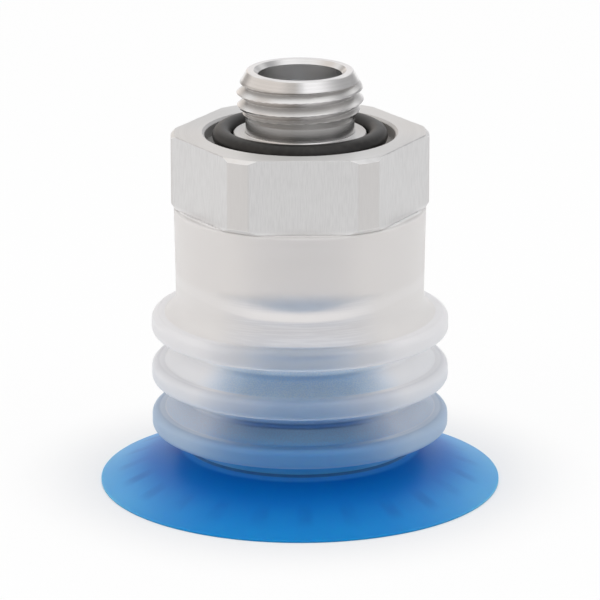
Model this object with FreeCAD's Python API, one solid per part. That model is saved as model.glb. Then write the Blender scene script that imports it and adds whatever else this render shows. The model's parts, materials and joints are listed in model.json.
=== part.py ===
import FreeCAD, Part
import math
import os

# A vacuum suction cup on its holder, in millimetres. +Z runs up the axis, from the plane of the sealing
# rim to the end of the threaded stem. The cup is a bellows moulded in translucent silicone, with a soft
# blue lip bonded to its foot. Its collar is pushed over the barbed spigot of a holder turned from
# hexagonal bar, and an O-ring lies in a groove in the holder's upper face.

# Sealing lip
LIP_DIAMETER = 41.5
LIP_HEIGHT = 4.25
LIP_EDGE_THICKNESS = 0.2
LIP_EDGE_LAND = 0.5
LIP_ROOT_THICKNESS = 1.3
LIP_ROOT_STEP = 0.35
LIP_ROOT_FILLET = 0.5
RIB_COUNT = 24
RIB_WIDTH = 1.2
RIB_HEIGHT = 0.4
RIB_INNER_SETBACK = 1.0
RIB_OUTER_SETBACK = 2.0

# Bellows: neck, folds and collar
NECK_DIAMETER = 23.9
NECK_BORE = 19.4
NECK_HEIGHT = 0.95
FOOT_SHOULDER_HEIGHT = 0.6
FOLD_COUNT = 3
FOLD_PITCH = 5.15
RIM_DIAMETER = 30.7
RIM_HEIGHT = 2.1
RIM_WIDTH = 1.4
RIM_STEP = 0.25
RIM_ROUNDING = 0.75
RIM_THICKNESS = 2.0
VALLEY_DIAMETER = 23.8
VALLEY_ROUNDING = 0.4
WALL_THICKNESS = 1.2
HOLLOW_ROUNDING = 0.5
SHOULDER_HEIGHT = 1.5
SHOULDER_FILLET = 3.0
COLLAR_HEIGHT = 10.1
COLLAR_BASE_DIAMETER = 25.6
COLLAR_TOP_DIAMETER = 25.95
SPIGOT_CLEARANCE = 0.05

# Holder: spigot, hexagon and stem
SPIGOT_DIAMETER = 20.0
SPIGOT_LAND = 1.4
BARB_DIAMETER = 21.2
BARB_LENGTH = 2.1
BARB_COUNT = 2
HEX_ACROSS_FLATS = 24.0
HEX_CORNER_DIAMETER = 26.5
HEX_HEIGHT = 7.7
HEX_BEVEL_WIDTH = 0.35
HEX_BEVEL_HEIGHT = 0.4
THREAD_DIAMETER = 13.03
STEM_LENGTH = 6.5
STEM_LEAD_WIDTH = 1.07
STEM_LEAD_LENGTH = 1.85
UNDERCUT_DIAMETER = 11.15
UNDERCUT_LENGTH = 1.55
UNDERCUT_FILLET = 0.4
THREAD_RUN_OUT = 0.5
BORE_DIAMETER = 8.6
BORE_CHAMFER = 0.45

# O-ring and the groove that holds it
RING_BORE = 14.0
RING_SECTION = 2.0
RING_STAND_OUT = 0.65
GROOVE_INNER_CLEARANCE = 0.2
GROOVE_OUTER_CLEARANCE = 0.8
GROOVE_CHAMFER = 0.25

# Heights that follow from the sizes above
NECK_TOP = LIP_HEIGHT + NECK_HEIGHT
LOWEST_RIM = NECK_TOP + FOOT_SHOULDER_HEIGHT
HIGHEST_RIM = LOWEST_RIM + (FOLD_COUNT - 1) * FOLD_PITCH
COLLAR_BASE = HIGHEST_RIM + RIM_HEIGHT - RIM_STEP + SHOULDER_HEIGHT
HEX_BASE = COLLAR_BASE + COLLAR_HEIGHT
HEX_TOP = HEX_BASE + HEX_HEIGHT
STEM_END = HEX_TOP + STEM_LENGTH
SPIGOT_END = HEX_BASE - SPIGOT_LAND - BARB_COUNT * BARB_LENGTH
GROOVE_FLOOR = HEX_TOP + RING_STAND_OUT - RING_SECTION

ORIGIN = FreeCAD.Vector(0, 0, 0)
AXIS = FreeCAD.Vector(0, 0, 1)
HEX_SIDES = 6
FULL_TURN = 360
SAME_POINT = 1e-7


def rounded_corner(before, corner, after, radius):
    """Start, middle and end of the arc that rounds a corner, as large as its two sides leave room for."""
    to_before = before - corner
    to_after = after - corner
    half_angle = to_before.getAngle(to_after) / 2
    room = min(to_before.Length, to_after.Length) / 2
    setback = min(radius / math.tan(half_angle), room)
    to_before.normalize()
    to_after.normalize()
    inward = (to_before + to_after).normalize()
    to_middle = setback * (1 - math.sin(half_angle)) / math.cos(half_angle)
    return [corner + to_before * setback, corner + inward * to_middle, corner + to_after * setback]


def outline(corners):
    """A face in the XZ plane, from corners given as (radius, height) or (radius, height, rounding)."""
    points = [FreeCAD.Vector(corner[0], 0, corner[1]) for corner in corners]
    stretches = []
    for i, corner in enumerate(corners):
        if len(corner) == 3:
            after = points[(i + 1) % len(points)]
            stretches.append(rounded_corner(points[i - 1], points[i], after, corner[2]))
        else:
            stretches.append([points[i]])
    edges = []
    for i, stretch in enumerate(stretches):
        last_point = stretches[i - 1][-1]
        if not last_point.isEqual(stretch[0], SAME_POINT):
            edges.append(Part.LineSegment(last_point, stretch[0]).toShape())
        if len(stretch) == 3:
            edges.append(Part.Arc(*stretch).toShape())
    return Part.Face(Part.Wire(edges))


def turned(corners):
    """A solid of revolution about the axis."""
    return outline(corners).revolve(ORIGIN, AXIS, FULL_TURN)


def spigot_side(clearance):
    """Corners down the barbed side of the spigot, or, with a clearance, down the seat that it fits in."""
    land = SPIGOT_DIAMETER / 2 + clearance
    barb = BARB_DIAMETER / 2 + clearance
    corners = [(land, HEX_BASE)]
    for i in range(BARB_COUNT):
        shoulder = HEX_BASE - SPIGOT_LAND - i * BARB_LENGTH
        corners.append((land, shoulder))
        corners.append((barb, shoulder))
    corners.append((land, SPIGOT_END))
    return corners


def hexagon():
    """A slice of hexagonal bar, its corners turned down and bevelled, with a flat facing each way along Y."""
    corner = HEX_ACROSS_FLATS / 2 / math.cos(math.pi / HEX_SIDES)
    points = []
    for i in range(HEX_SIDES + 1):
        angle = math.radians(FULL_TURN * i / HEX_SIDES)
        points.append(FreeCAD.Vector(corner * math.cos(angle), corner * math.sin(angle), HEX_BASE))
    bar = Part.Face(Part.makePolygon(points)).extrude(AXIS * HEX_HEIGHT)
    outer = HEX_CORNER_DIAMETER / 2
    inner = outer - HEX_BEVEL_WIDTH
    blank = turned([
        (0, HEX_BASE),
        (inner, HEX_BASE),
        (outer, HEX_BASE + HEX_BEVEL_HEIGHT),
        (outer, HEX_TOP - HEX_BEVEL_HEIGHT),
        (inner, HEX_TOP),
        (0, HEX_TOP),
    ])
    return bar.common(blank)


def ring_groove():
    """The groove in the hexagon's upper face, chamfered along its outer edge."""
    inner = RING_BORE / 2 - GROOVE_INNER_CLEARANCE
    outer = RING_BORE / 2 + RING_SECTION + GROOVE_OUTER_CLEARANCE
    return turned([
        (inner, GROOVE_FLOOR),
        (outer, GROOVE_FLOOR),
        (outer, HEX_TOP - GROOVE_CHAMFER),
        (outer + GROOVE_CHAMFER, HEX_TOP),
        (inner, HEX_TOP),
    ])


def stem():
    """The threaded stem at its full diameter, with its undercut at the root and its lead at the end."""
    root = UNDERCUT_DIAMETER / 2
    thread = THREAD_DIAMETER / 2
    undercut_end = HEX_TOP + UNDERCUT_LENGTH
    return turned([
        (0, HEX_BASE),
        (root + UNDERCUT_FILLET, HEX_BASE),
        (root + UNDERCUT_FILLET, HEX_TOP),
        (root, HEX_TOP + UNDERCUT_FILLET),
        (root, undercut_end),
        (thread, undercut_end + THREAD_RUN_OUT),
        (thread, STEM_END - STEM_LEAD_LENGTH),
        (thread - STEM_LEAD_WIDTH, STEM_END),
        (0, STEM_END),
    ])


def vacuum_bore():
    """The bore right through the holder, chamfered at both ends."""
    radius = BORE_DIAMETER / 2
    mouth = radius + BORE_CHAMFER
    return turned([
        (0, SPIGOT_END),
        (mouth, SPIGOT_END),
        (radius, SPIGOT_END + BORE_CHAMFER),
        (radius, STEM_END - BORE_CHAMFER),
        (mouth, STEM_END),
        (0, STEM_END),
    ])


def holder_body():
    spigot = turned([(0, HEX_BASE)] + spigot_side(0) + [(0, SPIGOT_END)])
    body = hexagon().cut(ring_groove()).fuse([stem(), spigot])
    return body.cut(vacuum_bore()).removeSplitter().Solids[0]


def seal_ring():
    centre = FreeCAD.Vector(0, 0, GROOVE_FLOOR + RING_SECTION / 2)
    return Part.makeTorus((RING_BORE + RING_SECTION) / 2, RING_SECTION / 2, centre, AXIS)


def bellows_outside():
    """The outer side of the bellows from its foot up: the neck, a bead along the rim of each fold, a valley
    between each two, and above the last a shoulder that sweeps up into the collar."""
    rim = RIM_DIAMETER / 2
    crease = rim - RIM_WIDTH
    neck = NECK_DIAMETER / 2
    corners = [(neck, LIP_HEIGHT), (neck, NECK_TOP, VALLEY_ROUNDING)]
    for i in range(FOLD_COUNT):
        base = LOWEST_RIM + i * FOLD_PITCH
        top = base + RIM_HEIGHT
        corners.append((crease, base + RIM_STEP))
        corners.append((crease + RIM_STEP, base))
        corners.append((rim, base, RIM_ROUNDING))
        corners.append((rim, top, RIM_ROUNDING))
        corners.append((crease + RIM_STEP, top))
        corners.append((crease, top - RIM_STEP))
        if i < FOLD_COUNT - 1:
            middle = top + (FOLD_PITCH - RIM_HEIGHT) / 2
            corners.append((VALLEY_DIAMETER / 2, middle, VALLEY_ROUNDING))
    corners.append((COLLAR_BASE_DIAMETER / 2, COLLAR_BASE, SHOULDER_FILLET))
    corners.append((COLLAR_TOP_DIAMETER / 2, HEX_BASE))
    return corners


def bellows_inside():
    """The inner side from the collar down: the spigot's seat, a hollow in each fold, the neck's bore."""
    hollow = RIM_DIAMETER / 2 - RIM_THICKNESS
    waist = VALLEY_DIAMETER / 2 - WALL_THICKNESS
    corners = spigot_side(SPIGOT_CLEARANCE)
    corners.append((corners[-1][0], COLLAR_BASE))
    for i in reversed(range(FOLD_COUNT)):
        middle = LOWEST_RIM + i * FOLD_PITCH + RIM_HEIGHT / 2
        corners.append((hollow, middle, HOLLOW_ROUNDING))
        if i > 0:
            corners.append((waist, middle - FOLD_PITCH / 2, HOLLOW_ROUNDING))
    corners.append((NECK_BORE / 2, NECK_TOP))
    corners.append((NECK_BORE / 2, LIP_HEIGHT))
    return corners


def bellows():
    return turned(bellows_outside() + bellows_inside())


def lip_skirt():
    """The flared skirt, thinning from its root to a narrow flat land along the sealing edge."""
    edge = LIP_DIAMETER / 2
    neck = NECK_DIAMETER / 2
    root_top = LIP_HEIGHT - LIP_ROOT_STEP
    return turned([
        (NECK_BORE / 2, LIP_HEIGHT),
        (neck, LIP_HEIGHT),
        (neck, root_top, LIP_ROOT_FILLET),
        (edge, LIP_EDGE_THICKNESS),
        (edge, 0),
        (edge - LIP_EDGE_LAND, 0),
        (NECK_BORE / 2, root_top - LIP_ROOT_THICKNESS),
    ])


def lip_rib():
    """One radial rib under the skirt, its crest parallel to the underside that it stands on."""
    foot = LIP_DIAMETER / 2 - LIP_EDGE_LAND
    rise = (LIP_HEIGHT - LIP_ROOT_STEP - LIP_ROOT_THICKNESS) / (foot - NECK_BORE / 2)
    inner = NECK_BORE / 2 + RIB_INNER_SETBACK
    outer = foot - RIB_OUTER_SETBACK
    bite = LIP_EDGE_THICKNESS / 2
    corners = []
    for radius, offset in ((inner, bite), (outer, bite), (outer, -RIB_HEIGHT), (inner, -RIB_HEIGHT)):
        corners.append((radius, (foot - radius) * rise + offset))
    side = outline(corners)
    side.translate(FreeCAD.Vector(0, -RIB_WIDTH / 2, 0))
    return side.extrude(FreeCAD.Vector(0, RIB_WIDTH, 0))


def sealing_lip():
    ribs = []
    for i in range(RIB_COUNT):
        rib = lip_rib()
        rib.rotate(ORIGIN, AXIS, FULL_TURN * i / RIB_COUNT)
        ribs.append(rib)
    return lip_skirt().fuse(ribs).removeSplitter().Solids[0]


PIECES = {
    "holder_body": holder_body,
    "seal_ring": seal_ring,
    "bellows": bellows,
    "sealing_lip": sealing_lip,
}

os.makedirs("parts", exist_ok=True)
for name, make in PIECES.items():
    make().exportStep(os.path.join("parts", name + ".step"))
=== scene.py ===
import bpy
import json
import math
import numpy as np
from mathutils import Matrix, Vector


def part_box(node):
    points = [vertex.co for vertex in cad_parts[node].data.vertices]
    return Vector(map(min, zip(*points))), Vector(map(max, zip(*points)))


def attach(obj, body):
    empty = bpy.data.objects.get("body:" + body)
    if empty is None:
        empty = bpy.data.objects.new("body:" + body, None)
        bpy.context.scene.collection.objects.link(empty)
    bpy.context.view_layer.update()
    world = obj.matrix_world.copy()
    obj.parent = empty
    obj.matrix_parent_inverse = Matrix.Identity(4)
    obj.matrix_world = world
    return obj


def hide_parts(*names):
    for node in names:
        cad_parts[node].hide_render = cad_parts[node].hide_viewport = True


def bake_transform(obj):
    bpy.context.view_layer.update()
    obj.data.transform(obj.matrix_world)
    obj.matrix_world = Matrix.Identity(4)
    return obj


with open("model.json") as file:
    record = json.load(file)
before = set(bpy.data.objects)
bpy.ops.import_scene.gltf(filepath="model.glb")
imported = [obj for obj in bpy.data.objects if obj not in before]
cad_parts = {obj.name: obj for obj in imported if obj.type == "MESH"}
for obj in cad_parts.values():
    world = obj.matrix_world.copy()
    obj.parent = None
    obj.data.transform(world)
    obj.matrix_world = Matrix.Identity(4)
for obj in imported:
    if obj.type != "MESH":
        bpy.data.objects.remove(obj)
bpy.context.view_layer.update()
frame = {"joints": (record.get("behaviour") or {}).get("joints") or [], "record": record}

# The holder is one turning from hexagonal aluminium bar. Its flats keep the skin of the drawn bar, and its
# upper face, O-ring groove, threaded stem and bore are turned. The cup is pushed over its barbed spigot.
MM = 0.001
FULL_TURN = 2 * math.pi
MOUNTS = {mount["name"]: mount for mount in frame["record"]["mounts"]}
HOLDER_LOW, HOLDER_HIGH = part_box("holder_body")
SPIGOT_END = HOLDER_LOW[2] / MM
STEM_END = HOLDER_HIGH[2] / MM
HEX_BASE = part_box("bellows")[1][2] / MM
HEX_TOP = MOUNTS["seal_face"]["pos_m"][2] / MM
HEX_FLAT = HOLDER_HIGH[1] / MM
HEX_CORNER = HOLDER_HIGH[0] / MM
HEX_SIDES = 6
HEX_BASE_BEVEL = (0.35, 0.4)
HEX_TOP_BEVEL = (0.3, 0.27)
DEBURR = 0.07
DEBURR_WAVES = ((0.25, 23, 0), (0.2, 61, 1))
HEX_BASE_DEBURR = 0.02
SPIGOT = 10.0
BARB = 10.6
BARB_LENGTH = 2.1
BARB_COUNT = 2
GROOVE_INNER = 6.8
GROOVE_OUTER = 9.8
GROOVE_DEPTH = 1.35
GROOVE_FLOOR = HEX_TOP - GROOVE_DEPTH
GROOVE_CHAMFER = 0.25
UNDERCUT = 5.575
UNDERCUT_FILLET = 0.4
UNDERCUT_LENGTH = 1.55
UNDERCUT_TOP = HEX_TOP + UNDERCUT_LENGTH
THREAD = MOUNTS["port_thread"]["dims"]["r_mm"]
THREAD_PITCH = 1.337
THREAD_DEPTH = 0.8
THREAD_CREST = 40.1
THREAD_CREST_ANGLE = math.pi
THREAD_SHARPNESS = 0.985
THREAD_RUN_OUT = 1.5
THREAD_RINGS = 150
LEAD_WIDTH = 1.07
LEAD_LENGTH = 1.85
LEAD_PLAIN = 0.95
LEAD_FADE = 0.12
BORE = MOUNTS["vacuum_bore"]["dims"]["r_mm"]
BORE_CHAMFER = 0.45
HOLDER_COLUMNS = 360
SHARP_EDGE = math.radians(28)
HOLDER_SHARP_EDGE = math.radians(20)
DRAWN = (0.75, 0.745, 0.745, 1.0)
DRAWN_STREAK = (0.705, 0.70, 0.70, 1.0)
FOOT_PAINTED_LIGHT = (0.84, 0.835, 0.835, 1.0)
CORNER = (0.675, 0.658, 0.648, 1.0)
TOP_BEVEL_HIGHLIGHT = (0.93, 0.925, 0.92, 1.0)
BEVELLED = (0.79, 0.78, 0.77, 1.0)
FACED = (0.79, 0.785, 0.78, 1.0)
TURNED = (0.85, 0.84, 0.835, 1.0)
TURNED_MARK = (0.74, 0.73, 0.72, 1.0)
BORED = (0.88, 0.88, 0.88, 1.0)
SHADED = (0.50, 0.49, 0.48, 1.0)


def outline(corners, arc_steps=5):
    """Points along corners given as (radius, height) or (radius, height, rounding), rounded by arcs."""
    points = [np.array(corner[:2], float) for corner in corners]
    path = []
    for i, corner in enumerate(corners):
        if len(corner) == 2:
            path.append(tuple(points[i]))
            continue
        before = points[i - 1] - points[i]
        after = points[(i + 1) % len(points)] - points[i]
        room = min(np.linalg.norm(before), np.linalg.norm(after)) / 2
        before /= np.linalg.norm(before)
        after /= np.linalg.norm(after)
        half_angle = math.acos(before @ after) / 2
        setback = min(corner[2] / math.tan(half_angle), room)
        sweep = math.pi - 2 * half_angle
        middle = (before + after) / np.linalg.norm(before + after)
        centre = points[i] + middle * setback / math.cos(half_angle)
        start = points[i] + before * setback - centre
        end = points[i] + after * setback - centre
        for part in np.linspace(0, 1, arc_steps + 1):
            turned_by = math.sin((1 - part) * sweep) * start + math.sin(part * sweep) * end
            path.append(tuple(centre + turned_by / math.sin(sweep)))
    return path


def angles_round(columns):
    """The angles of that many columns, spread evenly round the axis."""
    return np.arange(columns) * FULL_TURN / columns


def turned(name, rings, columns, sharp=SHARP_EDGE):
    """A closed piece from rings round the axis, in millimetres. A ring's radius and height are one number
    each or one for each column. Rings run up the outside and down the inside; the last joins the first."""
    angles = angles_round(columns)
    points = []
    for radius, height in rings:
        flat = np.stack([radius * np.cos(angles), radius * np.sin(angles)], axis=1)
        points.append(np.column_stack([flat, np.broadcast_to(height, columns)]))
    ring = np.arange(len(rings))[:, None] * columns
    next_ring = np.roll(ring, -1, axis=0)
    column = np.arange(columns)[None, :]
    next_column = np.roll(column, -1, axis=1)
    quads = [ring + column, ring + next_column, next_ring + next_column, next_ring + column]
    faces = np.stack(quads, axis=2).reshape(-1, 4)
    mesh = bpy.data.meshes.new(name)
    mesh.from_pydata((np.concatenate(points) * MM).tolist(), [], faces.tolist())
    mesh.shade_smooth()
    mesh.set_sharp_from_angle(angle=sharp)
    stored = mesh.attributes.new("rest_place", "FLOAT_VECTOR", "POINT")
    stored.data.foreach_set("vector", np.concatenate(points).ravel())
    piece = bpy.data.objects.new(name, mesh)
    bpy.context.scene.collection.objects.link(piece)
    return piece


def spigot_rings():
    """Up the barbed side, each barb widening to a square shoulder."""
    rings = [(SPIGOT, SPIGOT_END)]
    for i in range(BARB_COUNT):
        barb_top = SPIGOT_END + (i + 1) * BARB_LENGTH
        rings += [(BARB, barb_top), (SPIGOT, barb_top)]
    return rings


def hexagon_rings(angles):
    """The hexagon from its underside to its upper face, with bevelled corners and deburred edges."""
    side = math.pi / HEX_SIDES
    from_flat = (angles + math.pi / 2 + side) % (2 * side) - side
    radius = np.minimum(HEX_FLAT / np.cos(from_flat), HEX_CORNER)
    unevenness = sum(share * np.sin(waves * angles + start) for share, waves, start in DEBURR_WAVES)
    deburr = DEBURR * (1 + unevenness)
    base_edge = np.minimum(radius, HEX_CORNER - HEX_BASE_BEVEL[0])
    base_bevel = (radius - base_edge) * HEX_BASE_BEVEL[1] / HEX_BASE_BEVEL[0]
    top_edge = np.minimum(radius, HEX_CORNER - HEX_TOP_BEVEL[0])
    top_bevel = (radius - top_edge) * HEX_TOP_BEVEL[1] / HEX_TOP_BEVEL[0]
    return [
        (SPIGOT, HEX_BASE),
        (base_edge - HEX_BASE_DEBURR, HEX_BASE),
        (radius, HEX_BASE + base_bevel + HEX_BASE_DEBURR),
        (radius, HEX_TOP - top_bevel - deburr),
        (top_edge - deburr, HEX_TOP),
    ]


def groove_rings():
    """In over the upper face, down into the O-ring groove and up to the land at the foot of the stem."""
    return [
        (GROOVE_OUTER + GROOVE_CHAMFER, HEX_TOP),
        (GROOVE_OUTER, HEX_TOP - GROOVE_CHAMFER),
        (GROOVE_OUTER, GROOVE_FLOOR),
        (GROOVE_INNER, GROOVE_FLOOR),
        (GROOVE_INNER, HEX_TOP - DEBURR),
        (GROOVE_INNER - DEBURR, HEX_TOP),
    ]


def stem_rings(angles):
    """The stem's undercut, its right-handed pipe thread with round crests, and the plain lead on top."""
    rings = outline([
        (UNDERCUT + UNDERCUT_FILLET, HEX_TOP),
        (UNDERCUT, HEX_TOP, UNDERCUT_FILLET),
        (UNDERCUT, UNDERCUT_TOP),
    ])[:-1]
    for height in np.linspace(UNDERCUT_TOP, STEM_END - DEBURR, THREAD_RINGS):
        turns = (height - THREAD_CREST) / THREAD_PITCH - (angles - THREAD_CREST_ANGLE) / FULL_TURN
        crest = np.arcsin(THREAD_SHARPNESS * np.cos(FULL_TURN * turns)) / math.asin(THREAD_SHARPNESS)
        fade = np.clip((STEM_END - LEAD_PLAIN - height) / LEAD_FADE, 0, 1)
        cut = THREAD - THREAD_DEPTH * fade * (1 - crest) / 2
        run_out = UNDERCUT + (THREAD - UNDERCUT) * (height - UNDERCUT_TOP) / THREAD_RUN_OUT
        lead = THREAD - LEAD_WIDTH + LEAD_WIDTH * (STEM_END - height) / LEAD_LENGTH
        rings.append((np.minimum(cut, min(run_out, lead)), height))
    return rings


def bore_rings():
    """In over the stem's end and down the bore, chamfered at both ends."""
    return [
        (THREAD - LEAD_WIDTH - DEBURR, STEM_END),
        (BORE + BORE_CHAMFER, STEM_END),
        (BORE, STEM_END - BORE_CHAMFER),
        (BORE, SPIGOT_END + BORE_CHAMFER),
        (BORE + BORE_CHAMFER, SPIGOT_END),
    ]


holder_angles = angles_round(HOLDER_COLUMNS)
holder_rings = spigot_rings() + hexagon_rings(holder_angles) + groove_rings()
holder_rings += stem_rings(holder_angles) + bore_rings()
holder = turned("holder", holder_rings, HOLDER_COLUMNS, HOLDER_SHARP_EDGE)


class Signal:
    """A value, colour, vector or shader in a node tree. Arithmetic on values adds Math nodes."""

    def __init__(self, tree, socket=None):
        self.tree = tree
        self.socket = socket

    def node(self, kind, settings, inputs, output=0):
        """Adds a node and sets its settings, then its sockets' values or links. Gives one output."""
        node = self.tree.nodes.new("ShaderNode" + kind)
        for name, value in settings.items():
            if name == "stops":
                stops = node.color_ramp.elements
                while len(stops) < len(value):
                    stops.new(1)
                for stop, (position, colour) in zip(stops, value):
                    stop.position = position
                    stop.color = colour
            else:
                setattr(node, name, value)
        for key, value in inputs.items():
            if isinstance(value, Signal):
                self.tree.links.new(value.socket, node.inputs[key])
            else:
                node.inputs[key].default_value = value
        return Signal(self.tree, node.outputs[output])

    def maths(self, operation, *others):
        """A Math node on this value and any others."""
        return self.node("Math", {"operation": operation}, dict(enumerate((self, *others))))

    def __add__(self, other):
        return self.maths("ADD", other)

    def __sub__(self, other):
        return self.maths("SUBTRACT", other)

    def __rsub__(self, other):
        return self.node("Math", {"operation": "SUBTRACT"}, {0: other, 1: self})

    def __mul__(self, other):
        return self.maths("MULTIPLY", other)

    __radd__ = __add__
    __rmul__ = __mul__

    def along(self, axis):
        """One part of a vector."""
        return self.node("SeparateXYZ", {}, {0: self}, axis)

    def rising(self, span):
        """0 below the span and 1 above it, with a soft step between."""
        limits = {"Value": self, "From Min": span[0], "From Max": span[1]}
        return self.node("MapRange", {"interpolation_type": "SMOOTHSTEP"}, limits)

    def falling(self, span):
        """1 below the span and 0 above it, with a soft step between."""
        return 1 - self.rising(span)

    def cover(self):
        """Makes this shader the surface of its material."""
        self.tree.links.new(self.socket, self.tree.nodes["Material Output"].inputs["Surface"])


def bare_material(mesh, name):
    """Gives a mesh a new material with no shader yet, and a Signal to start its nodes from."""
    material = bpy.data.materials.new(name)
    material.use_nodes = True
    material.node_tree.nodes.remove(material.node_tree.nodes["Principled BSDF"])
    mesh.materials.append(material)
    return Signal(material.node_tree)


def finish(piece, name):
    """Gives a piece a new material. Returns the place on the piece as it was built, in millimetres."""
    return bare_material(piece.data, name).node("Attribute", {"attribute_name": "rest_place"}, {}, "Vector")


def cylinder_place(place):
    """The distance from the axis, the angle round it and the height, as three values."""
    x = place.along("X")
    y = place.along("Y")
    return (x * x + y * y).maths("SQRT"), y.maths("ARCTAN2", x), place.along("Z")


def grain(place, stretch, detail):
    """Noise from 0 to 1 with that many features in a millimetre along each axis."""
    stretched = place.node("VectorMath", {"operation": "MULTIPLY"}, {0: place, 1: stretch})
    return place.node("TexNoise", {}, {"Vector": stretched, "Scale": 1.0, "Detail": detail})


def mixed(factor, first, second):
    """A colour between two colours."""
    return factor.node("Mix", {"data_type": "RGBA"}, {0: factor, 6: first, 7: second}, 2)


def relief(height):
    """The normals of a surface with that height in millimetres."""
    return height.node("Bump", {}, {"Strength": 1.0, "Distance": MM, "Height": height})


# Each span is where a finish of the holder begins and where it is complete; some carry painted light and
# shade instead of a finish.
CORNER_SPAN = (HEX_CORNER - 0.12, HEX_CORNER)
CORNER_SHARE = 0.85
SIDE_SPAN = (HEX_FLAT - 0.4, HEX_FLAT - 0.2)
UPPER_FACE_SPAN = (HEX_TOP - 0.02, HEX_TOP - 0.005)
UNDERSIDE_SPAN = (HEX_BASE - 0.1, HEX_BASE)
HEX_FOOT_SPAN = (HEX_BASE, HEX_BASE + 0.5)
BASE_BEVEL_SLOPE = HEX_BASE_BEVEL[0] / HEX_BASE_BEVEL[1]
BASE_BEVEL_REACH = HEX_CORNER - HEX_BASE_BEVEL[0] - HEX_BASE * BASE_BEVEL_SLOPE
BASE_BEVEL_SPAN = (BASE_BEVEL_REACH - 0.08, BASE_BEVEL_REACH - 0.05)
TOP_BEVEL_SLOPE = HEX_TOP_BEVEL[0] / HEX_TOP_BEVEL[1]
TOP_BEVEL_REACH = HEX_CORNER - HEX_TOP_BEVEL[0] + HEX_TOP * TOP_BEVEL_SLOPE
TOP_BEVEL_SPAN = (TOP_BEVEL_REACH - 0.14, TOP_BEVEL_REACH - 0.11)
STEM_SPAN = (HEX_TOP + 0.02, HEX_TOP + 0.1)
THREAD_ROOT_SPAN = (THREAD - 0.65, THREAD - 0.08)
THREAD_START = (HEX_TOP + 0.2, HEX_TOP + 0.5)
THREAD_STOP = (STEM_END - LEAD_PLAIN - 0.1, STEM_END - LEAD_PLAIN)
THREAD_SHADE = 0.8
GROOVE_SPAN = (GROOVE_INNER - 0.05, GROOVE_INNER)
GROOVE_MOUTH_SPAN = (HEX_TOP - 0.5, HEX_TOP - 0.1)
GROOVE_SHADE = 0.85
BORE_SPAN = (BORE, BORE + 0.1)
STREAK_GRAIN = ((8.0, 8.0, 0.7), 3.0)
STREAK_SPAN = (0.35, 0.7)
STREAK_HEIGHT = 0.003
PIT_GRAIN = ((14.0, 14.0, 4.0), 2.0)
PIT_HEIGHT = 0.003
DRAWN_ROUGHNESS = 0.40
STREAK_ROUGHNESS = 0.16
FEED_GRAIN = ((16.0, 1.0, 14.0), 1.0)
FEED_SPAN = (0.3, 0.75)
FEED_SHARE = 0.5
FEED_HEIGHT = 0.002
FACED_ROUGHNESS = 0.44
STEM_POLISH = 0.25
FEED_ROUGHNESS = 0.1
TURNING_ANISOTROPY = 0.8
TURNING_DIRECTION = 0.25

place = finish(holder, "turned_aluminium")
radius, around, height = cylinder_place(place)
streaks = grain(place, *STREAK_GRAIN)
pits = grain(place, *PIT_GRAIN)
feed_marks = grain(place.node("CombineXYZ", {}, {0: radius, 2: height}), *FEED_GRAIN)
on_corner = radius.rising(CORNER_SPAN)
on_base_bevel = (radius - height * BASE_BEVEL_SLOPE).rising(BASE_BEVEL_SPAN)
on_top_bevel = (radius + height * TOP_BEVEL_SLOPE).rising(TOP_BEVEL_SPAN)
on_side = radius.rising(SIDE_SPAN) * height.falling(UPPER_FACE_SPAN)
on_side = 1 - (1 - on_side) * height.rising(UNDERSIDE_SPAN)
on_stem = height.rising(STEM_SPAN)
in_bore = radius.falling(BORE_SPAN)
in_thread = radius.falling(THREAD_ROOT_SPAN) * height.rising(THREAD_START) * height.falling(THREAD_STOP)
in_groove = radius.rising(GROOVE_SPAN) * height.falling(GROOVE_MOUTH_SPAN)
bar_skin = mixed(streaks.rising(STREAK_SPAN), DRAWN, DRAWN_STREAK)
bar_skin = mixed(CORNER_SHARE * on_corner, bar_skin, CORNER)
# Painted light: the bar's skin is lighter in a band just above the hexagon's underside, to lift the shade
# mirrored there from the collar.
bar_skin = mixed(height.falling(HEX_FOOT_SPAN), bar_skin, FOOT_PAINTED_LIGHT)
bar_skin = mixed(on_base_bevel, bar_skin, BEVELLED)
# A painted highlight makes the upper corner bevels of the hexagon light.
drawn_skin = place.node("BsdfPrincipled", {}, {
    "Base Color": mixed(on_top_bevel, bar_skin, TOP_BEVEL_HIGHLIGHT),
    "Metallic": 1.0,
    "Roughness": DRAWN_ROUGHNESS + STREAK_ROUGHNESS * streaks,
    "Normal": relief(STREAK_HEIGHT * streaks + PIT_HEIGHT * pits),
})
feed_skin = mixed(FEED_SHARE * feed_marks.rising(FEED_SPAN), mixed(on_stem, FACED, TURNED), TURNED_MARK)
feed_skin = mixed(THREAD_SHADE * in_thread + GROOVE_SHADE * in_groove, feed_skin, SHADED)
turned_skin = place.node("BsdfPrincipled", {}, {
    "Base Color": mixed(in_bore, feed_skin, BORED),
    "Metallic": 1.0,
    "Roughness": FACED_ROUGHNESS - STEM_POLISH * on_stem + FEED_ROUGHNESS * feed_marks,
    "Anisotropic": TURNING_ANISOTROPY,
    "Anisotropic Rotation": TURNING_DIRECTION,
    "Normal": relief(FEED_HEIGHT * feed_marks),
})
place.node("MixShader", {}, {0: on_side, 1: turned_skin, 2: drawn_skin}).cover()
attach(holder, "holder")
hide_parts("holder_body")

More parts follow.
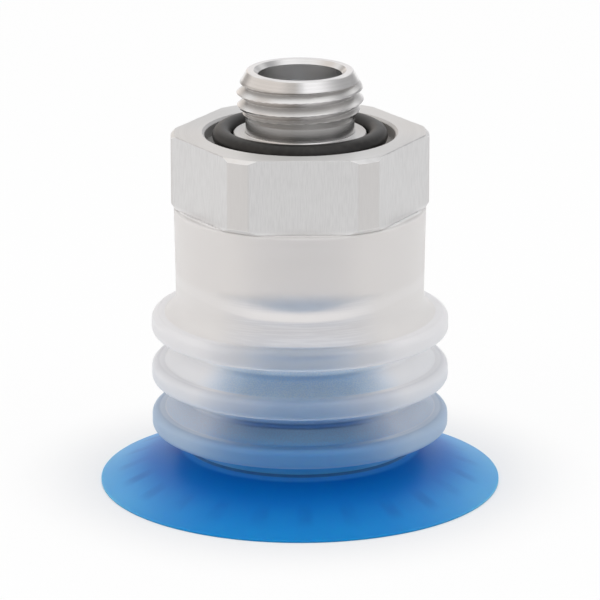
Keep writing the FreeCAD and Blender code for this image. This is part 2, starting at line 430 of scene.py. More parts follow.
# The O-ring is moulded in black nitrile rubber. It lies in the groove of the upper face, a third of its
# section proud, and seals against the face of the port.
RING_RADIUS = 8.0
RING_SECTION = 1.0
RING_MIDDLE = GROOVE_FLOOR + RING_SECTION
RING_STEPS = 40
RING_COLUMNS = 180
MOULD_LINE_HEIGHT = 0.02
MOULD_LINE_WIDTH = 0.1
RUBBER = (0.006, 0.005, 0.0045, 1.0)
RUBBER_DUSTY = (0.018, 0.016, 0.014, 1.0)
RUBBER_ROUGHNESS = 0.34
RUBBER_IOR = 1.5
BLOOM_GRAIN = ((1.6, 1.6, 1.6), 3.0)
BLOOM_SPAN = (0.4, 0.75)
BLOOM_ROUGHNESS = 0.16
PORE_GRAIN = ((11.0, 11.0, 11.0), 2.0)
PORE_HEIGHT = 0.006

ring_rings = []
for section_angle in angles_round(RING_STEPS):
    off_line = 1 - math.exp(-(math.sin(section_angle) / MOULD_LINE_WIDTH) ** 2)
    section = RING_SECTION - MOULD_LINE_HEIGHT * off_line
    ring_radius = RING_RADIUS + section * math.cos(section_angle)
    ring_rings.append((ring_radius, RING_MIDDLE + section * math.sin(section_angle)))
seal_ring = turned("face_o_ring", ring_rings, RING_COLUMNS)
place = finish(seal_ring, "black_rubber")
bloom = grain(place, *BLOOM_GRAIN)
place.node("BsdfPrincipled", {}, {
    "Base Color": mixed(bloom.rising(BLOOM_SPAN), RUBBER, RUBBER_DUSTY),
    "Roughness": RUBBER_ROUGHNESS + BLOOM_ROUGHNESS * bloom,
    "IOR": RUBBER_IOR,
    "Normal": relief(PORE_HEIGHT * grain(place, *PORE_GRAIN)),
}).cover()
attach(seal_ring, "holder")
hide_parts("seal_ring")

# The bellows is moulded in one piece from translucent silicone: a collar that grips the spigot, three folds
# with a round bead along each rim, and a short neck. The mould frosts its walls; its beads are smoother.
BELLOWS_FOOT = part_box("bellows")[0][2] / MM
NECK = 11.95
NECK_BORE = 9.7
NECK_HEIGHT = 0.95
FOOT_SHOULDER = 0.6
FOLD_COUNT = 3
FOLD_PITCH = 5.15
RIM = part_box("bellows")[1][0] / MM
RIM_HEIGHT = 2.1
RIM_WIDTH = 1.4
RIM_STEP = 0.12
RIM_FOOT = RIM - RIM_WIDTH
CREASE_FILLET = 0.5
RIM_ROUNDING = 0.75
RIM_THICKNESS = 2.0
VALLEY = 11.9
VALLEY_ROUNDING = 0.4
WALL = 1.2
HOLLOW_ROUNDING = 0.5
SHOULDER_SINK = 0.25
SHOULDER_HEIGHT = 1.5
SHOULDER_FILLET = 3.0
COLLAR_BASE_RADIUS = 12.8
COLLAR_TOP_RADIUS = 12.975
COLLAR_EDGE = 0.3
SPIGOT_LAND = 1.4
SEAT_STRETCH = 0.02
SEAT = SPIGOT - SEAT_STRETCH
NECK_TOP = BELLOWS_FOOT + NECK_HEIGHT
LOWEST_RIM = NECK_TOP + FOOT_SHOULDER
HIGHEST_RIM = LOWEST_RIM + (FOLD_COUNT - 1) * FOLD_PITCH
LOWEST_VALLEY = LOWEST_RIM + RIM_HEIGHT / 2 + FOLD_PITCH / 2
COLLAR_BASE = HIGHEST_RIM + RIM_HEIGHT - SHOULDER_SINK + SHOULDER_HEIGHT
BELLOWS_COLUMNS = 240
STROKE = next(joint for joint in frame["joints"] if joint["name"] == "stroke")["range_m"][1] / MM
FOLD_STROKE = 2.55
FOOT_STROKE = 1.0
SILICONE = (0.985, 0.982, 0.98, 1.0)
CLEAR_LIP_LIGHT = (0.22, 0.61, 1.0, 1.0)
MILK_LIP_LIGHT = (0.49, 0.56, 0.67, 1.0)
SPECKLE_SHADE = (0.35, 0.55, 0.84, 1.0)
SPIGOT_SHADE = (0.89, 0.85, 0.845, 1.0)
VALLEY_SHADE = (0.07, 0.20, 0.40, 1.0)
FOLD_MILK = (0.85, 0.85, 0.865, 1.0)
FOLD_MIDDLE_LIP_LIGHT = (0.60, 0.78, 1.0, 1.0)
BEAD_MILK = (0.725, 0.72, 0.735, 1.0)
BEAD_MIDDLE_LIP_LIGHT = (0.62, 0.72, 0.86, 1.0)
BEAD_LIP_LIGHT = (0.315, 0.425, 0.57, 1.0)
CREASE_HIGHLIGHT = (0.99, 0.985, 0.99, 1.0)
SHOULDER_CORE = (0.655, 0.65, 0.67, 1.0)
SHOULDER_MILK = (0.72, 0.703, 0.695, 1.0)
FLOW_MILK = (0.76, 0.755, 0.77, 1.0)
FLARE_HIGHLIGHT = (0.79, 0.775, 0.775, 1.0)
COLLAR_MIDDLE_SHADE = (0.635, 0.62, 0.62, 1.0)
COLLAR_MILK = (0.70, 0.68, 0.67, 1.0)
LEDGE_LIGHT_MIDDLE = (0.80, 0.78, 0.775, 1.0)
LEDGE_LIGHT_SIDE = (0.99, 0.97, 0.965, 1.0)
EDGE_SHADE = (0.63, 0.615, 0.61, 1.0)
LIP_GLOW = (0.03, 0.30, 0.68, 1.0)


def bellows_corners():
    """Up the outside: the neck, a bead on each fold, valleys, shoulder and collar. Then down the inside."""
    corners = [(NECK, BELLOWS_FOOT), (NECK, NECK_TOP, VALLEY_ROUNDING)]
    for i in range(FOLD_COUNT):
        base = LOWEST_RIM + i * FOLD_PITCH
        top = base + RIM_HEIGHT
        corners += [(RIM_FOOT, base + RIM_STEP), (RIM_FOOT + RIM_STEP, base, RIM_STEP)]
        corners += [(RIM, base, RIM_ROUNDING), (RIM, top, RIM_ROUNDING)]
        corners.append((RIM_FOOT, top, CREASE_FILLET))
        if i < FOLD_COUNT - 1:
            corners.append((VALLEY, top + (FOLD_PITCH - RIM_HEIGHT) / 2, VALLEY_ROUNDING))
    corners.append((COLLAR_BASE_RADIUS, COLLAR_BASE, SHOULDER_FILLET))
    corners.append((COLLAR_TOP_RADIUS, HEX_BASE, COLLAR_EDGE))
    corners.append((SEAT, HEX_BASE))
    for i in range(BARB_COUNT):
        barb_top = HEX_BASE - SPIGOT_LAND - i * BARB_LENGTH
        corners += [(SEAT, barb_top), (BARB - SEAT_STRETCH, barb_top)]
    corners += [(SEAT, SPIGOT_END), (SEAT, COLLAR_BASE, HOLLOW_ROUNDING)]
    for i in reversed(range(FOLD_COUNT)):
        middle = LOWEST_RIM + i * FOLD_PITCH + RIM_HEIGHT / 2
        corners.append((RIM - RIM_THICKNESS, middle, HOLLOW_ROUNDING))
        if i > 0:
            corners.append((VALLEY - WALL, middle - FOLD_PITCH / 2, HOLLOW_ROUNDING))
    corners += [(NECK_BORE, NECK_TOP, HOLLOW_ROUNDING), (NECK_BORE, BELLOWS_FOOT)]
    return corners


bellows = turned("bellows_cup", outline(bellows_corners()), BELLOWS_COLUMNS)

# Silicone that is thick, or seen along its wall, turns from clear to milky. ASIDE holds how far round to
# the side that happens, ABOVE the heights where one feature ends and the next begins, and HAZE how milky
# each feature is. A minus sign there makes it clearer.
ASIDE = {
    "wall": (0.04, 0.44),
    "spigot": (0.0, 0.16),
    "below_spigot": (0.04, 0.16),
    "ledge": (0.0, 0.3),
    "collar": (0.0, 0.2),
    "flare": (0.0, 0.5),
    "crescent": (0.05, 0.3),
    "shoulder": (0.04, 0.3),
    "crease": (0.05, 0.3),
    "rim_line": (0.02, 0.15),
    "bead_milk": (0.0, 0.15),
    "bead_haze": (0.02, 0.12),
}
ABOVE = {
    "neck": (NECK_TOP, LOWEST_RIM),
    "neck_glow": (NECK_TOP, LOWEST_RIM + 0.5),
    "lip_light": (LOWEST_RIM, HIGHEST_RIM + 1.0),
    "lowest_bead": (LOWEST_RIM + RIM_HEIGHT - 0.4, LOWEST_RIM + RIM_HEIGHT + 0.6),
    "lowest_fold": (LOWEST_RIM + FOLD_PITCH, HIGHEST_RIM - 3.0),
    "valleys": (HIGHEST_RIM - 1.0, HIGHEST_RIM),
    "flanks": (HIGHEST_RIM - 0.5, HIGHEST_RIM + 0.5),
    "highest_rim": (HIGHEST_RIM, HIGHEST_RIM + 1.0),
    "highest_bead": (HIGHEST_RIM + RIM_HEIGHT - 0.6, HIGHEST_RIM + RIM_HEIGHT),
    "spigot_end": (SPIGOT_END - 1.4, SPIGOT_END),
    "collar_side": (HEX_BASE - 0.17, HEX_BASE - 0.05),
}
HAZE = {
    "wall": 0.05,
    "wall_aside": 0.8,
    "thick_aside": 0.1,
    "specks": 0.8,
    "upper_fold": 0.27,
    "valley": -0.15,
    "bead": 0.1,
    "bead_under": 0.4,
    "upper_bead": 0.06,
    "upper_bead_aside": 0.22,
    "crease_aside": 0.4,
    "rim_line": -0.6,
    "shoulder": 0.8,
    "crescent": 0.2,
    "below_spigot": 0.18,
    "below_spigot_aside": 0.57,
    "collar": 0.9,
    "ledge": 0.3,
}
BEAD_SPAN = (RIM_FOOT, RIM_FOOT + RIM_STEP)
RIM_LINE_SPAN = (RIM_FOOT - 0.2, RIM_FOOT - 0.05)
CREASE_START = (RIM_FOOT - 0.1, RIM_FOOT + 0.1)
CREASE_STOP = (RIM - 0.9, RIM - 0.6)
CREASE_SHARE = 0.38
CREASE_LIP_FADE = 0.3
CREASE_TOP_FADE = 0.7
VALLEY_SPAN = (VALLEY + 0.1, VALLEY + 0.5)
VALLEY_WAVE_SPAN = (0.6, 0.9)
UNDER_SPAN = (0.2, 0.8)
SPIGOT_LIFT = 1.2
SHOULDER_STOP = (COLLAR_BASE + 1.7, COLLAR_BASE + 2.7)
BELOW_SPIGOT_START = (COLLAR_BASE + 2.0, SPIGOT_END - 1.6)
FLARE_LIFT = 1.0
CRESCENT_START = (COLLAR_BASE + 1.05, COLLAR_BASE + 1.35)
CRESCENT_STOP = (COLLAR_BASE + 1.8, COLLAR_BASE + 2.6)
CRESCENT_FADE = 0.8
LEDGE_SPAN = (COLLAR_TOP_RADIUS - 0.4, COLLAR_TOP_RADIUS - 0.15)
OFF_FLAT_SPAN = (0.1, 0.8)
FROST_GRAIN = ((5.0, 5.0, 5.0), 3.0)
FROST_HEIGHT = 0.0005
FLANK_FROST_HEIGHT = 0.0030
SPECK_GRAIN = ((7.0, 7.0, 5.0), 2.0)
SPECK_MIDDLE = 0.5
SPECK_SPAN = (0.35, 0.65)
SPECK_SHARE = 0.8
FLOW_GRAIN = ((0.25, 0.25, 7.0), 3.0)
FLOW_SPAN = (0.45, 0.6)
FLOW_SHARE = 0.6
WALL_LIP_LIGHT_SHARE = 0.85
BEAD_LIP_LIGHT_SHARE = 0.15
NECK_GLOW_SHARE = 0.8
LOWEST_BEAD_GLOW = 0.45
NECK_GLOW = 0.36
MIDDLE_BEAD_GLOW = 0.6
SILICONE_IOR = 1.41
CLEAR_ROUGHNESS = 0.33
CLEAR_FROST = 0.06
MILKY_ROUGHNESS = 0.40
MILKY_FROST = 0.1
MILK_DEPTH = 0.35
GLOW_DEPTH = 1.0


def beside(place):
    """How far the round side of the cup is turned away from the eye: 0 in the middle and 1 at its edges."""
    level_place = place.node("VectorMath", {"operation": "MULTIPLY"}, {0: place, 1: (1.0, 1.0, 0.0)})
    outward = place.node("VectorMath", {"operation": "NORMALIZE"}, {0: level_place})
    return place.node("LayerWeight", {}, {"Blend": 0.5, "Normal": outward}, "Facing")


def clouded(colour, depth, frost, skin):
    """Milky silicone of a colour, lit to a depth in millimetres."""
    return frost.node("BsdfPrincipled", {}, {
        "Base Color": colour,
        "Roughness": MILKY_ROUGHNESS + MILKY_FROST * frost,
        "IOR": SILICONE_IOR,
        "Subsurface Weight": 1.0,
        "Subsurface Radius": (1.0, 1.0, 1.0),
        "Subsurface Scale": depth * MM,
        "Normal": skin,
    })


place = finish(bellows, "clear_silicone")
radius, around, height = cylinder_place(place)
facing = beside(place)
aside = {name: facing.rising(span) for name, span in ASIDE.items()}
above = {name: height.rising(span) for name, span in ABOVE.items()}
mould_frost = grain(place, *FROST_GRAIN)
specks = grain(place, *SPECK_GRAIN)
flow_lines = grain(place, *FLOW_GRAIN)
facing_down = (0 - place.node("NewGeometry", {}, {}, "Normal").along("Z")).rising(UNDER_SPAN)
entering = 1 - place.node("NewGeometry", {}, {}, "Backfacing")

# Masks of the features. Seen from slightly above, what lies inside the round wall shows higher up towards
# its sides, so the end of the spigot and the light on the flare of the shoulder are lifted there.
near_lip = 1 - above["lip_light"]
on_bead = radius.rising(BEAD_SPAN)
on_flank = (1 - on_bead) * (1 - above["flanks"])
on_crease = radius.rising(CREASE_START) * radius.falling(CREASE_STOP)
on_rim_line = radius.rising(RIM_LINE_SPAN) * (1 - on_bead) * (1 - on_flank)
fold_turn = (FULL_TURN / FOLD_PITCH) * (height - LOWEST_VALLEY)
in_valley = radius.falling(VALLEY_SPAN) * fold_turn.maths("COSINE").rising(VALLEY_WAVE_SPAN)
in_valley = in_valley * (1 - above["valleys"])
spigot_height = height - SPIGOT_LIFT * aside["spigot"]
on_shoulder = above["highest_bead"] * spigot_height.falling(SHOULDER_STOP) * (1 - on_bead)
below_spigot = spigot_height.rising(BELOW_SPIGOT_START) * (1 - above["spigot_end"])
flare_height = height - FLARE_LIFT * aside["flare"]
on_crescent = flare_height.rising(CRESCENT_START) * flare_height.falling(CRESCENT_STOP)
on_crescent = on_crescent * (1 - CRESCENT_FADE * aside["crescent"])
from_flat = (around + math.pi / 2).maths("PINGPONG", math.pi / HEX_SIDES)
off_flat = radius * from_flat.maths("COSINE") - HEX_FLAT
on_ledge = radius.falling(LEDGE_SPAN) * off_flat.falling(OFF_FLAT_SPAN)

# The tint of what shows through the clear silicone, with bluish specks and painted light and shade: blue
# light from the lip near its foot, a shadow under the spigot's end and shade in the valleys.
tint = mixed(near_lip, SILICONE, CLEAR_LIP_LIGHT)
tint = mixed(SPECK_SHARE * on_flank * specks.rising(SPECK_SPAN), tint, SPECKLE_SHADE)
tint = mixed(below_spigot, tint, SPIGOT_SHADE)
tint = mixed(in_valley, tint, VALLEY_SHADE)

# The colour of the milky silicone: warm grey on the collar and cooler on the folds, with painted light and
# shade on it.
# Painted light: the folds' milk is bluer in the middle of the view, where light from the lip shows through,
# greyer towards the sides, and lighter than the beads' against the shade under them.
fold_milk = mixed(aside["wall"], FOLD_MIDDLE_LIP_LIGHT, FOLD_MILK)
# The collar's milk is painted darker in the middle of the view, as shade of the spigot inside it, and
# lighter towards the sides.
milk = mixed(above["valleys"], fold_milk, mixed(aside["collar"], COLLAR_MIDDLE_SHADE, COLLAR_MILK))
# On the shoulder the milk is likewise painted lighter towards the sides.
shoulder_milk = mixed(FLOW_SHARE * flow_lines.rising(FLOW_SPAN), SHOULDER_CORE, FLOW_MILK)
milk = mixed(on_shoulder, milk, mixed(aside["shoulder"], shoulder_milk, SHOULDER_MILK))
# A painted highlight lies in a crescent on the flare of the shoulder.
milk = mixed(on_crescent, milk, FLARE_HIGHLIGHT)
# The beads' milk is likewise painted bluish in the middle of the view, as light from the lip, and greyer
# towards the sides.
milk = mixed(on_bead, milk, mixed(aside["bead_milk"], BEAD_MIDDLE_LIP_LIGHT, BEAD_MILK))
# Painted blue light from the lip on the milk of the lower folds, deeper on their beads.
lip_light_share = near_lip * near_lip * (WALL_LIP_LIGHT_SHARE + BEAD_LIP_LIGHT_SHARE * on_bead)
milk = mixed(lip_light_share, milk, mixed(on_bead, MILK_LIP_LIGHT, BEAD_LIP_LIGHT))
# A painted highlight lies along the creases inside the beads, towards the sides.
crease_light = CREASE_SHARE * on_crease * (1 - facing_down) * aside["crease"]
crease_light = crease_light * (1 - CREASE_LIP_FADE * near_lip)
crease_light = crease_light * (1 - CREASE_TOP_FADE * above["highest_rim"])
milk = mixed(crease_light, milk, CREASE_HIGHLIGHT)
# Painted light and shade on the ledge under the hexagon: lighter beside the flats, to lift the shade where
# they meet it, and darker on the rest of the ledge and its rounded edge, which face the light above.
ledge_light = mixed(aside["ledge"], LEDGE_LIGHT_MIDDLE, LEDGE_LIGHT_SIDE)
milk = mixed(above["collar_side"], milk, mixed(on_ledge, EDGE_SHADE, ledge_light))
milk = mixed(NECK_GLOW_SHARE * (1 - above["neck_glow"]), milk, LIP_GLOW)

# How milky the silicone is.
thick = HAZE["collar"] * above["spigot_end"] + HAZE["shoulder"] * on_shoulder
thick = thick + HAZE["crescent"] * on_crescent + HAZE["ledge"] * above["collar_side"]
haze = HAZE["wall"] * (1 - near_lip * on_flank) + thick
haze = haze + aside["wall"] * (HAZE["wall_aside"] - (HAZE["wall_aside"] - HAZE["thick_aside"]) * thick)
flank_haze = HAZE["specks"] * (specks - SPECK_MIDDLE) + HAZE["upper_fold"] * above["lowest_fold"]
haze = haze + on_flank * flank_haze
upper_bead_haze = HAZE["upper_bead"] + HAZE["upper_bead_aside"] * aside["bead_haze"]
bead_haze = HAZE["bead"] + HAZE["bead_under"] * facing_down + (1 - near_lip) * upper_bead_haze
haze = haze + on_bead * bead_haze
haze = haze + HAZE["rim_line"] * on_rim_line * (1 - aside["rim_line"])
haze = haze + HAZE["crease_aside"] * on_crease * aside["wall"]
haze = haze + HAZE["valley"] * in_valley * (1 - aside["wall"])
haze = haze + below_spigot * (HAZE["below_spigot"] + HAZE["below_spigot_aside"] * aside["below_spigot"])

# Blue light from the lip, which shines up through the neck and the lower beads.
lip_glow = LOWEST_BEAD_GLOW * (1 - above["lowest_bead"]) + NECK_GLOW * (1 - above["neck"])
lip_glow = lip_glow + MIDDLE_BEAD_GLOW * on_bead * near_lip * (1 - near_lip)

# Haze and glow lie where light enters the silicone, so that they do not stop it on its way out.
mould_skin = relief(mould_frost * (FROST_HEIGHT + FLANK_FROST_HEIGHT * on_flank))
clear = place.node("BsdfPrincipled", {}, {
    "Base Color": tint,
    "Roughness": CLEAR_ROUGHNESS + CLEAR_FROST * mould_frost,
    "IOR": SILICONE_IOR,
    "Transmission Weight": 1.0,
    "Normal": mould_skin,
})
glowing = clouded(LIP_GLOW, GLOW_DEPTH, mould_frost, mould_skin)
milky = clouded(milk, MILK_DEPTH, mould_frost, mould_skin)
clear_or_glowing = place.node("MixShader", {}, {0: lip_glow * entering, 1: clear, 2: glowing})
place.node("MixShader", {}, {0: haze * entering, 1: clear_or_glowing, 2: milky}).cover()


COLLAR_BASE * MM
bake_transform(bellows)
share_heights = [NECK_TOP]
shares = [1.0]
for i in range(FOLD_COUNT):
    share_heights += [LOWEST_RIM + i * FOLD_PITCH, LOWEST_RIM + i * FOLD_PITCH + RIM_HEIGHT]
    shares += [1.0 - (FOOT_STROKE + i * FOLD_STROKE) / STROKE] * 2
share_heights.append(COLLAR_BASE)
shares.append(0.0)
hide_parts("bellows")

# The lip is a softer, blue silicone, bonded to the foot of the bellows in the mould. Its skirt thins out to
# a supple edge, and low ribs underneath keep a film from being sucked flat against it.
LIP_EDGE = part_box("sealing_lip")[1][0] / MM
LIP_EDGE_THICKNESS = 0.2
LIP_LAND = 0.5
LIP_COLLAR = 0.35
LIP_ROOT = BELLOWS_FOOT - LIP_COLLAR
LIP_ROOT_THICKNESS = 1.3
LIP_ROOT_FILLET = 0.5
LIP_BOND = 0.02
SKIRT_EDGE = LIP_EDGE - LIP_LAND
SKIRT_RISE = (LIP_ROOT - LIP_ROOT_THICKNESS) / (SKIRT_EDGE - NECK_BORE)
SKIRT_RINGS = 24
RIB_COUNT = 24
RIB_SPACING = FULL_TURN / RIB_COUNT
RIB_WIDTH = 1.2
RIB_HEIGHT = 0.4
RIB_SIDE = 0.2
RIB_END = 0.4
RIB_SETBACK_INNER = 1.0
RIB_SETBACK_OUTER = 2.0
RIB_INNER = NECK_BORE + RIB_SETBACK_INNER
RIB_OUTER = SKIRT_EDGE - RIB_SETBACK_OUTER
LIP_COLUMNS = 480
LIP_DEEP = (0.0005, 0.10, 0.43, 1.0)
LIP_PALE = (0.0005, 0.225, 0.59, 1.0)
LIP_EDGE_SHEEN = (0.09, 0.37, 0.70, 1.0)
LIP_RIB = (0.0005, 0.05, 0.30, 1.0)
LIP_ROOT_SHADE = (0.012, 0.12, 0.31, 1.0)
LIP_FILLET_HIGHLIGHT = (0.045, 0.27, 0.66, 1.0)

from_rib = (angles_round(LIP_COLUMNS) + RIB_SPACING / 2) % RIB_SPACING - RIB_SPACING / 2
lip_rings = [(LIP_EDGE, 0.0)]
lip_rings += outline([
    (LIP_EDGE, LIP_EDGE_THICKNESS),
    (NECK - LIP_BOND, LIP_ROOT, LIP_ROOT_FILLET),
    (NECK - LIP_BOND, BELLOWS_FOOT + LIP_BOND),
])
lip_rings.append((NECK_BORE, BELLOWS_FOOT + LIP_BOND))
for skirt_radius in np.linspace(NECK_BORE, SKIRT_EDGE, SKIRT_RINGS):
    across_rib = np.clip((RIB_WIDTH / 2 - np.abs(from_rib * skirt_radius)) / RIB_SIDE + 0.5, 0, 1)
    along_rib = np.clip((skirt_radius - RIB_INNER) / RIB_END, 0, 1)
    along_rib *= np.clip((RIB_OUTER - skirt_radius) / RIB_END, 0, 1)
    skirt_height = (SKIRT_EDGE - skirt_radius) * SKIRT_RISE
    lip_rings.append((skirt_radius, skirt_height - RIB_HEIGHT * across_rib * along_rib))
lip = turned("suction_lip", lip_rings, LIP_COLUMNS)

# Its blue is painted paler towards the edge, as the light that the thinner skirt lets through, and paler at
# the root, as painted light that lifts the shadow of the bellows; it is deep between them.
CLOUD_GRAIN = ((0.25, 0.25, 0.25), 2.0)
PALE_SHARE = 0.8
PALE_CLOUDS = 0.4
ROOT_LIGHT_SPAN = (NECK + 0.2, NECK + 0.8)
ROOT_LIGHT_SHARE = 0.4
SKIRT_LIGHT_SPAN = (NECK + 1.0, NECK + 4.0)
SKIRT_LIGHT_SHARE = 0.3
FILLET_HIGHLIGHT_SPAN = (NECK + 0.3, NECK + 0.75)
ROOT_SHADE_SPAN = (LIP_ROOT - 0.02, LIP_ROOT + 0.1)
THIN_SPAN = (NECK + 3.0, LIP_EDGE)
SHEEN_ASIDE = (0.15, 0.75)
SHEEN_SHARE = 0.8
RIB_CREST_SPAN = (0.1, 1.0)
RIB_CLOUD_SPAN = (0.25, 0.7)
RIB_START = (NECK + 3.2, NECK + 5.2)
RIB_STOP = (RIB_OUTER - 0.6, RIB_OUTER + 1.2)
RIB_SHARE = 0.35
LIP_FROST_GRAIN = ((6.0, 6.0, 6.0), 2.0)
LIP_FROST_HEIGHT = 0.004
LIP_ROUGHNESS = 0.36
LIP_FROST_ROUGHNESS = 0.1
LIP_SPECULAR = 0.35
LIP_DEPTH = 1.0
LIP_DEPTH_BY_COLOUR = (0.3, 0.7, 1.0)

place = finish(lip, "blue_silicone")
radius, around, height = cylinder_place(place)
clouds = grain(place, *CLOUD_GRAIN)
lip_frost = grain(place, *LIP_FROST_GRAIN)
pale = radius.rising((NECK, LIP_EDGE)) * (PALE_SHARE + PALE_CLOUDS * clouds)
pale = pale + ROOT_LIGHT_SHARE * radius.falling(ROOT_LIGHT_SPAN)
pale = pale + SKIRT_LIGHT_SHARE * radius.falling(SKIRT_LIGHT_SPAN)
# A painted sheen makes the outer skirt paler towards the sides of the view.
edge_sheen = SHEEN_SHARE * beside(place).rising(SHEEN_ASIDE) * radius.rising(THIN_SPAN)
ribs = (RIB_COUNT * around).maths("COSINE").rising(RIB_CREST_SPAN) * clouds.rising(RIB_CLOUD_SPAN)
ribs = ribs * radius.rising(RIB_START) * radius.falling(RIB_STOP)
blue = mixed(pale, LIP_DEEP, LIP_PALE)
# A painted highlight: a light line along the fillet at the root.
blue = mixed(radius.falling(FILLET_HIGHLIGHT_SPAN), blue, LIP_FILLET_HIGHLIGHT)
# Painted shade: the band of the root just under the neck is dark.
blue = mixed(height.rising(ROOT_SHADE_SPAN), blue, LIP_ROOT_SHADE)
blue = mixed(edge_sheen, blue, LIP_EDGE_SHEEN)
place.node("BsdfPrincipled", {}, {
    "Base Color": mixed(RIB_SHARE * ribs, blue, LIP_RIB),
    "Roughness": LIP_ROUGHNESS + LIP_FROST_ROUGHNESS * lip_frost,
    "IOR": SILICONE_IOR,
    "Specular IOR Level": LIP_SPECULAR,
    "Subsurface Weight": 1.0,
    "Subsurface Radius": LIP_DEPTH_BY_COLOUR,
    "Subsurface Scale": LIP_DEPTH * MM,
    "Normal": relief(LIP_FROST_HEIGHT * lip_frost),
}).cover()
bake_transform(lip)
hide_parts("sealing_lip")

# The cup stands on a plain pale floor, which belongs to the studio. The camera sees it almost white, but
# with the cup's shadow round the lip.
FLOOR_SIZE = 6.0
FLOOR_GAP = 0.02 * MM
FLOOR_CORNERS = ((-1, -1), (1, -1), (1, 1), (-1, 1))
FLOOR_WHITE = (0.9, 0.9, 0.9, 1.0)
WHITE = (1.0, 1.0, 1.0, 1.0)
FLOOR_GLOW = 0.85
SHADOW_SPAN = (LIP_EDGE - 1.0, LIP_EDGE + 12.0)
SHADOW_GLOW = 0.2

floor_mesh = bpy.data.meshes.new("floor")
floor_points = [(x * FLOOR_SIZE, y * FLOOR_SIZE, -FLOOR_GAP) for x, y in FLOOR_CORNERS]
floor_mesh.from_pydata(floor_points, [], [(0, 1, 2, 3)])
floor = bpy.data.objects.new("floor", floor_mesh)
bpy.context.scene.collection.objects.link(floor)


def seen_rays(start):
    """1 for what the camera sees, also mirrored or through a clear piece, and 0 for the light it gives."""
    seen = start.node("LightPath", {}, {}, "Is Camera Ray")
    for kind in ("Is Glossy Ray", "Is Transmission Ray"):
        seen = seen.maths("MAXIMUM", start.node("LightPath", {}, {}, kind))
    return seen


floor_finish = bare_material(floor_mesh, "pale_floor")
floor_place = floor_finish.node("TexCoord", {}, {}, "Object")
floor_place = floor_finish.node("VectorMath", {"operation": "SCALE"}, {0: floor_place, "Scale": 1 / MM})
out_of_shadow = SHADOW_GLOW + (1 - SHADOW_GLOW) * cylinder_place(floor_place)[0].rising(SHADOW_SPAN)
floor_glow = seen_rays(floor_finish) * out_of_shadow * FLOOR_GLOW
matte = floor_finish.node("BsdfDiffuse", {}, {"Color": FLOOR_WHITE})
shining = floor_finish.node("Emission", {}, {"Color": WHITE, "Strength": 1.0})
floor_finish.node("MixShader", {}, {0: floor_glow, 1: matte, 2: shining}).cover()

# A white studio: the backdrop is white to the eye and gives a soft even light from all sides. Mirrored in
# metal, it falls into lamps, warmer on the left, and darker gaps; it is darkest beside the camera.
WORLD_LIGHT = 0.75
FRONT_LEVEL = 0.3
FRONT_TURN = math.radians(20)
FRONT_SPAN = (0.6, 0.98)
FRONT_TOP_SPAN = (0.25, 0.5)
OVERHEAD_SPAN = (0.75, 0.95)
BACKDROP_SPAN = (0.3, 0.7)
BACKDROP_FOOT_SPAN = (0.25, 0.6)
WARM = (1.0, 0.933, 0.878)
COOL = (0.99, 0.985, 1.0)
LEFT_LEVELS = (
    (-180, 0.92), (-162, 0.92), (-150, 0.42), (-140, 0.42),
    (-125, 0.78), (-50, 0.78), (-30, 0.58), (-14, 0.50),
)
RIGHT_LEVELS = (
    (0, 0.75), (13, 1.15), (42, 1.15), (58, 0.95), (75, 0.66), (90, 0.50),
    (118, 0.38), (138, 0.38), (155, 0.60), (168, 0.92), (180, 0.92),
)

world = bpy.data.worlds.new("studio")
world.use_nodes = True
bpy.context.scene.world = world
studio = Signal(world.node_tree)
direction = studio.node("TexCoord", {}, {}, "Generated")
sideward = direction.along("X")
forward = direction.along("Y")
upward = direction.along("Z")
lamp_stops = []
for levels, lamp_tint in ((LEFT_LEVELS, WARM), (RIGHT_LEVELS, COOL)):
    for degrees, lamp_level in levels:
        lamp_colour = tuple(lamp_level * part for part in lamp_tint) + (1.0,)
        lamp_stops.append((0.5 + degrees / 360, lamp_colour))
turn = 0.5 + (1 / FULL_TURN) * sideward.maths("ARCTAN2", 0 - forward)
lamps = studio.node("ValToRGB", {"stops": lamp_stops}, {0: turn})
backdrop = upward.rising(BACKDROP_FOOT_SPAN) * forward.rising(BACKDROP_SPAN)
lamps = mixed(upward.rising(OVERHEAD_SPAN).maths("MAXIMUM", backdrop), lamps, WHITE)
mirrored = studio.node("LightPath", {}, {}, "Is Glossy Ray")
mirrored = mirrored * (1 - studio.node("LightPath", {}, {}, "Is Transmission Ray"))
beside_camera = math.sin(FRONT_TURN) * sideward - math.cos(FRONT_TURN) * forward
front = beside_camera.rising(FRONT_SPAN) * upward.falling(FRONT_TOP_SPAN)
level = WORLD_LIGHT + (1 - WORLD_LIGHT) * seen_rays(studio) - mirrored * (1 - FRONT_LEVEL) * front
background = world.node_tree.nodes["Background"]
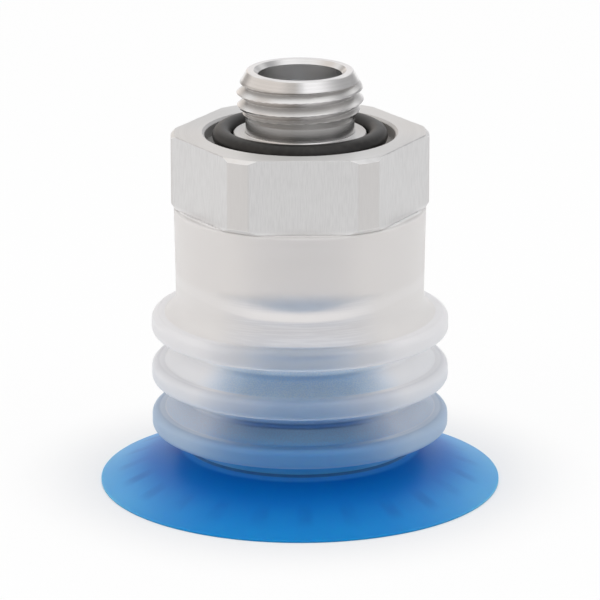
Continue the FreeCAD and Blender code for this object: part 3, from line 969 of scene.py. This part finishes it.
world.node_tree.links.new(level.socket, background.inputs["Strength"])
world.node_tree.links.new(mixed(mirrored, WHITE, lamps).socket, background.inputs["Color"])

# Softboxes stand to the left and right of the camera and above the cup. They light it, but are not mirrored
# in the metal, because the studio's own bright and dark stripes are.
SOFTBOXES = {
    "left_softbox": {"from": (-0.42, -0.30, 0.30), "size": 0.55, "watts": 0.8, "colour": (1.0, 0.96, 0.92)},
    "right_softbox": {"from": (0.45, -0.25, 0.28), "size": 0.55, "watts": 0.6, "colour": (0.96, 0.98, 1.0)},
    "top_softbox": {"from": (0.0, 0.15, 0.55), "size": 0.60, "watts": 0.8, "colour": (1.0, 1.0, 1.0)},
}
AIM = (0.0, 0.0, 0.02)

for softbox_name, softbox in SOFTBOXES.items():
    lamp = bpy.data.lights.new(softbox_name, "AREA")
    lamp.energy = softbox["watts"]
    lamp.size = softbox["size"]
    lamp.color = softbox["colour"]
    stand = bpy.data.objects.new(softbox_name, lamp)
    stand.location = softbox["from"]
    stand.visible_glossy = False
    stand.rotation_euler = (Vector(AIM) - stand.location).to_track_quat("-Z", "Y").to_euler()
    bpy.context.scene.collection.objects.link(stand)

# The camera looks slightly down on the cup, with a long lens, from where the photograph was taken. Its
# place and lens were fitted to the round edges of the stem, the beads and the lip.
CAMERA_DISTANCE = 451.12 * MM
CAMERA_HEIGHT = 152.64 * MM
CAMERA_AROUND = math.radians(1.7)
CAMERA_DOWN = math.radians(16.47)
CAMERA_LENS = 272.9

camera_data = bpy.data.cameras.new("camera")
camera_data.lens = CAMERA_LENS
camera = bpy.data.objects.new("camera", camera_data)
camera_left = CAMERA_DISTANCE * math.sin(CAMERA_AROUND)
camera_ahead = CAMERA_DISTANCE * math.cos(CAMERA_AROUND)
camera.location = (-camera_left, -camera_ahead, CAMERA_HEIGHT)
camera.rotation_euler = (math.pi / 2 - CAMERA_DOWN, 0, -CAMERA_AROUND)
bpy.context.scene.collection.objects.link(camera)
bpy.context.scene.camera = camera
bpy.context.scene.view_settings.view_transform = "Standard"
